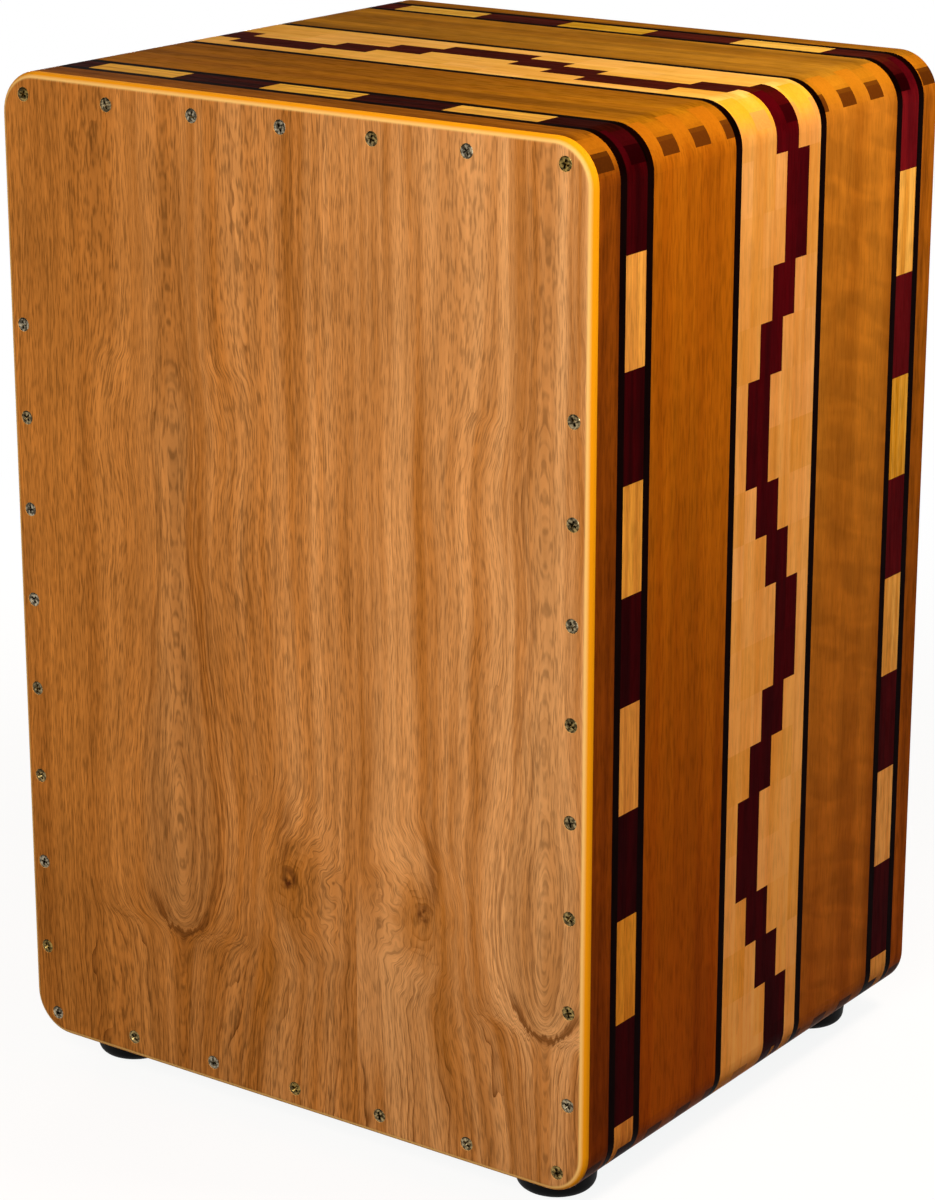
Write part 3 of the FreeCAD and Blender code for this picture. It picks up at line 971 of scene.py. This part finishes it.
@dataclass
class LaminatedPanel:
    """One glued-up side of the box: rails, fields, stringers, checkers and the stepped inlay."""

    side: Side
    shift: float

    WOODS = {
        "front_rail": FRONT_RAIL,
        "rear_rail": REAR_RAIL,
        "front_field": CEDAR_FRONT,
        "rear_field": CEDAR_REAR,
        "stringers": DYED_HARDWOOD,
        "front_checker_dark_blocks": CHECKER_PURPLEHEART,
        "front_checker_light_blocks": CHECKER_MAPLE,
        "rear_checker_dark_blocks": REAR_CHECKER_PURPLEHEART,
        "rear_checker_light_blocks": REAR_CHECKER_MAPLE,
        "zigzag_dark_blocks": PURPLEHEART,
        "zigzag_light_blocks": MAPLE,
    }
    # How much further into the timber each strip is cut than the one before, in mm.
    SHIFT_STEP = 310.0

    def build(self) -> None:
        """Dress each strip of the panel in its own wood."""
        label, run = self.side.value
        for turn, (strip, wood) in enumerate(self.WOODS.items()):
            material = wood.make(f"{label}_{strip}", run, self.shift + self.SHIFT_STEP * turn)
            dress(f"{label}_{strip}", material)


@dataclass
class StrikingPlate:
    """The thin front plate that is played."""

    finish: BookmatchedVeneer = BookmatchedVeneer()

    def build(self) -> None:
        """Dress the plate."""
        dress("front_plate", self.finish.make())


@dataclass
class BackPlate:
    """The plate with the sound hole."""

    finish: BirchPlywood = BirchPlywood()

    def build(self) -> None:
        """Dress the plate."""
        dress("back_plate", self.finish.make())


@dataclass
class PlateScrews:
    """Cross-head countersunk screws round the striking plate, all in one piece."""

    finish: Material
    plain_radius: float = 3.5 * MM
    head_radius: float = 3.38 * MM
    head_height: float = 2.4 * MM
    shank_radius: float = 1.5 * MM
    shank_end: float = 13.0 * MM
    tip_end: float = 15.8 * MM
    recess_reach: float = 2.0 * MM
    recess_half_width: float = 0.5 * MM
    recess_lip: float = 0.04 * MM
    recess_depth: float = 1.3 * MM
    row_count: int = 7
    row_reach: float = 147.0 * MM
    column_count: int = 8
    column_low: float = 58.3 * MM
    column_pitch: float = 44.1 * MM
    column_x: float = 152.2 * MM

    # The head's low dome: the share of its radius, and how far the face has dropped there, in mm.
    DOME = ((0.74, 0.08), (0.93, 0.18), (1.0, 0.32))
    # Each screw is turned by this much more than the last, in radians, so no two stand alike.
    TURN = 2.399

    def places(self) -> list[tuple[float, float]]:
        """Give the x and z of every screw, from the CAD node's box.

        Returns:
            The places, in metres.
        """
        low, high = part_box("front_plate_screws")
        bottom, top = low.z + self.plain_radius, high.z - self.plain_radius
        pitch = 2 * self.row_reach / (self.row_count - 1)
        rows = [(i * pitch - self.row_reach, z) for z in (bottom, top) for i in range(self.row_count)]
        columns = [
            (x, self.column_low + i * self.column_pitch)
            for x in (-self.column_x, self.column_x)
            for i in range(self.column_count)
        ]
        return rows + columns

    def rings(self) -> list[list[tuple[float, float, float]]]:
        """Give one screw's rings, from the middle of its recess to the tip of its shank.

        Returns:
            Rings of points as angle, radius and depth behind the head's face.
        """
        tip = math.atan2(self.recess_half_width, self.recess_reach)
        quarter = (-math.pi / 4, -0.6, -0.36, -tip, 0.0, tip, 0.36, 0.6)
        cross = []
        for arm in range(4):
            for a in quarter:
                by_tip = self.recess_reach / math.cos(a)
                by_flank = self.recess_half_width / max(abs(math.sin(a)), 1e-6)
                cross.append((math.pi / 2 * arm + a, min(by_tip, by_flank)))
        made = [[(a, r * 0.45, self.recess_depth) for a, r in cross]]
        made.append([(a, r, self.recess_lip) for a, r in cross])
        rounds = [(self.head_radius * share, drop * MM) for share, drop in self.DOME]
        rounds += [(self.shank_radius, self.head_height), (self.shank_radius, self.shank_end)]
        rounds.append((self.shank_radius * 0.15, self.tip_end))
        return made + [[(a, radius, depth) for a, _ in cross] for radius, depth in rounds]

    def build(self) -> None:
        """Make all the screws as one mesh in place of the plain ones."""
        low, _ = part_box("front_plate_screws")
        places = self.places()
        rings = self.rings()
        mesh = bmesh.new()
        for index, (x, z) in enumerate(places):
            turn = index * self.TURN
            loops = []
            for ring in rings:
                points = [(r * math.cos(a + turn), d, r * math.sin(a + turn)) for a, r, d in ring]
                loops.append(
                    [mesh.verts.new((x + across, low.y + d, z + up)) for across, d, up in points]
                )
            mesh.faces.new(loops[0])
            mesh.faces.new(loops[-1][::-1])
            join_loops(mesh, loops)
        piece = add_piece(mesh, "cross_head_screws", self.finish, 32.0)
        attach(piece, "root")
        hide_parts("front_plate_screws")
        LOG.info("%s: %d screws", piece.name, len(places))


@dataclass
class RubberFoot:
    """A turned rubber foot with a rounded tread edge and a sunk screw well."""

    node: str
    finish: Material
    tread_round: float = 5.0 * MM
    tread_inset: float = 0.7 * MM
    flat_inset: float = 1.2 * MM
    tread_steps: int = 8
    well_radius: float = 7.0 * MM
    well_depth: float = 8.0 * MM
    well_ease: float = 0.4 * MM
    mouth_ease: float = 0.5 * MM
    taper: float = 0.1 * MM
    head_ease: float = 0.9 * MM
    head_round: float = 0.25 * MM
    segments: int = 64

    def profile(self, radius: float, height: float) -> list[tuple[float, float]]:
        """Give the foot's outline from the well's bottom round to the top.

        Args:
            radius: The foot's widest radius, in metres.
            height: The foot's height, in metres.

        Returns:
            Points as radius and height over the ground.
        """
        well, deep = self.well_radius, self.well_depth
        points = [(well - self.well_ease, deep), (well, deep - self.well_ease)]
        points += [(well, self.mouth_ease), (well + self.mouth_ease, 0.0)]
        points.append((radius - self.tread_round - self.flat_inset, 0.0))
        for step in range(1, self.tread_steps + 1):
            a = math.pi / 2 * step / self.tread_steps
            r = radius - self.tread_round - self.tread_inset
            points.append((r + self.tread_round * math.sin(a), self.tread_round * (1 - math.cos(a))))
        points += [(radius - self.taper, height * 0.75), (radius, height - self.head_ease)]
        points.append((radius - self.head_round, height - self.head_round))
        points.append((radius - self.head_ease, height))
        return points

    def build(self) -> None:
        """Turn the foot in place of the plain one."""
        low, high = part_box(self.node)
        centre = (low + high) / 2
        angles = [2 * math.pi * i / self.segments for i in range(self.segments)]
        mesh = bmesh.new()
        loops = []
        for r, z in self.profile((high.x - low.x) / 2, high.z - low.z):
            points = [(centre.x + r * math.cos(a), centre.y + r * math.sin(a), low.z + z) for a in angles]
            loops.append([mesh.verts.new(point) for point in points])
        mesh.faces.new(loops[0])
        mesh.faces.new(loops[-1])
        join_loops(mesh, loops)
        piece = add_piece(mesh, self.node.replace("foot", "rubber_foot"), self.finish, 40.0)
        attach(piece, "root")
        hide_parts(self.node)
        LOG.info("%s", piece.name)


@dataclass
class Studio:
    """The pale floor, the white surround, the soft lamps and the camera."""

    lens_mm: float = 105.26
    sensor_mm: float = 36.0
    eye: Vector = Vector((0.92989, -1.30445, 0.73144))
    aim: Vector = Vector((0.00097, -0.00763, 0.22759))
    floor_radius: float = 9.0

    # Each lamp's name, place, aim, width in metres and power in watts.
    LAMPS = (
        ("front_softbox", (0.42, -1.15, 0.72), (0.05, -0.1, 0.3), 0.7, 15.2),
        ("side_lamp", (0.5, 0.06, 0.85), (0.15, 0.0, 0.4), 0.15, 4.0),
        ("back_softbox", (-0.9, 0.5, 1.1), (0.0, 0.0, 0.35), 0.6, 1.7),
        ("rear_fill", (-1.0, 1.0, 0.2), (-0.05, 0.05, 0.22), 0.45, 11.0),
    )

    def build(self) -> None:
        """Set everything up."""
        self.floor()
        self.surround()
        for name, place, aim, width, watts in self.LAMPS:
            self.lamp(name, place, aim, width, watts)
        self.camera()
        bpy.context.scene.view_settings.view_transform = "Standard"

    def floor(self) -> None:
        """Lay a pale floor that keeps the drum's shadow and fades into white further out."""
        mesh = bmesh.new()
        bmesh.ops.create_circle(mesh, cap_ends=True, segments=96, radius=self.floor_radius)
        data = bpy.data.meshes.new("floor")
        mesh.to_mesh(data)
        mesh.free()
        floor = bpy.data.objects.new("floor", data)
        bpy.context.scene.collection.objects.link(floor)
        material, nodes = new_material("matt_white_paper")
        seen = self._seen(nodes)
        place = nodes.add("TexCoord").outputs["Object"]
        away = nodes.add("VectorMath", {0: place}, operation="LENGTH").outputs["Value"]
        paper = nodes.add("BsdfDiffuse", {"Color": "#6a6058"})
        glow = nodes.add("Emission", {"Color": "#ffffff", "Strength": 1.0})
        lift = nodes.product(seen, 0.9)
        dim = nodes.add("Emission", {"Color": (0.99, 1.0, 1.0, 1.0), "Strength": lift})
        near = nodes.add("AddShader", {0: paper, 1: dim})
        fade = nodes.product(seen, (away, 0.35, 1.1, 0.0, 1.0))
        shader = nodes.add("MixShader", {0: fade, 1: near, 2: glow})
        nodes.add("OutputMaterial", {"Surface": shader})
        data.materials.append(material)

    def _seen(self, nodes: Nodes) -> Node:
        """Tell the rays that show the surround from those that light the drum.

        Args:
            nodes: The floor's or the world's nodes.

        Returns:
            The node that gives 1 for camera, glossy and transmission rays.
        """
        path = nodes.add("LightPath")
        seen: Any = path.outputs["Is Camera Ray"]
        for other in ("Is Glossy Ray", "Is Transmission Ray"):
            seen = nodes.add("Math", {0: seen, 1: path.outputs[other]}, operation="MAXIMUM")
        return seen

    def surround(self) -> None:
        """Make the white surround, which lights the drum softly from every side."""
        world = bpy.data.worlds.new("white_surround")
        bpy.context.scene.world = world
        nodes = Nodes(world)
        xyz = nodes.add("SeparateXYZ", {0: nodes.add("TexCoord").outputs["Generated"]})
        wall = nodes.add("MapRange", {0: xyz.outputs["Z"], 1: -0.02, 2: 0.07, 3: 1.0, 4: 0.08})
        # Reflections see a dim ceiling, but in a picture the surround is white to the top.
        direct = nodes.add("LightPath").outputs["Is Camera Ray"]
        wall = nodes.add("Math", {0: wall, 1: direct}, operation="MAXIMUM")
        seen = self._seen(nodes)
        strength = nodes.add("MapRange", {0: seen, 3: 0.085, 4: wall})
        tone = nodes.stain("#ffc99c", "#ffffff", seen)
        glow = nodes.add("Background", {"Color": tone, "Strength": strength})
        nodes.add("OutputWorld", {"Surface": glow})

    def lamp(
        self,
        name: str,
        place: tuple[float, float, float],
        aim: tuple[float, float, float],
        width: float,
        watts: float,
    ) -> None:
        """Hang one soft square lamp.

        Args:
            name: What it is called.
            place: Where it hangs.
            aim: The point that it faces.
            width: The side of its square, in metres.
            watts: Its power.
        """
        data = bpy.data.lights.new(name, "AREA")
        data.shape, data.size, data.energy = "SQUARE", width, watts
        lamp = bpy.data.objects.new(name, data)
        bpy.context.scene.collection.objects.link(lamp)
        lamp.location = place
        lamp.rotation_euler = (Vector(aim) - Vector(place)).to_track_quat("-Z", "Y").to_euler()
        lamp.visible_camera = False

    def camera(self) -> None:
        """Place the camera."""
        data = bpy.data.cameras.new("camera")
        data.lens, data.sensor_width = self.lens_mm, self.sensor_mm
        camera = bpy.data.objects.new("camera", data)
        bpy.context.scene.collection.objects.link(camera)
        camera.location = self.eye
        camera.rotation_euler = (self.aim - self.eye).to_track_quat("-Z", "Y").to_euler()
        bpy.context.scene.camera = camera


def main() -> None:
    """Dress the drum and set up the studio."""
    logging.basicConfig(level=logging.INFO, format="%(message)s")
    for side, shift in ((Side.RIGHT, 0.0), (Side.LEFT, 4100.0), (Side.TOP, 8300.0), (Side.BOTTOM, 12700.0)):
        LaminatedPanel(side, shift).build()
    StrikingPlate().build()
    BackPlate().build()
    steel = PlatedSteel().make()
    PlateScrews(steel).build()
    rubber = MouldedRubber().make()
    for corner in ("front_left", "front_right", "rear_left", "rear_right"):
        RubberFoot(f"foot_{corner}", rubber).build()
    dress("foot_screws", steel)
    dress("foot_washers", steel)
    Studio().build()


if __name__ == "__main__":
    main()
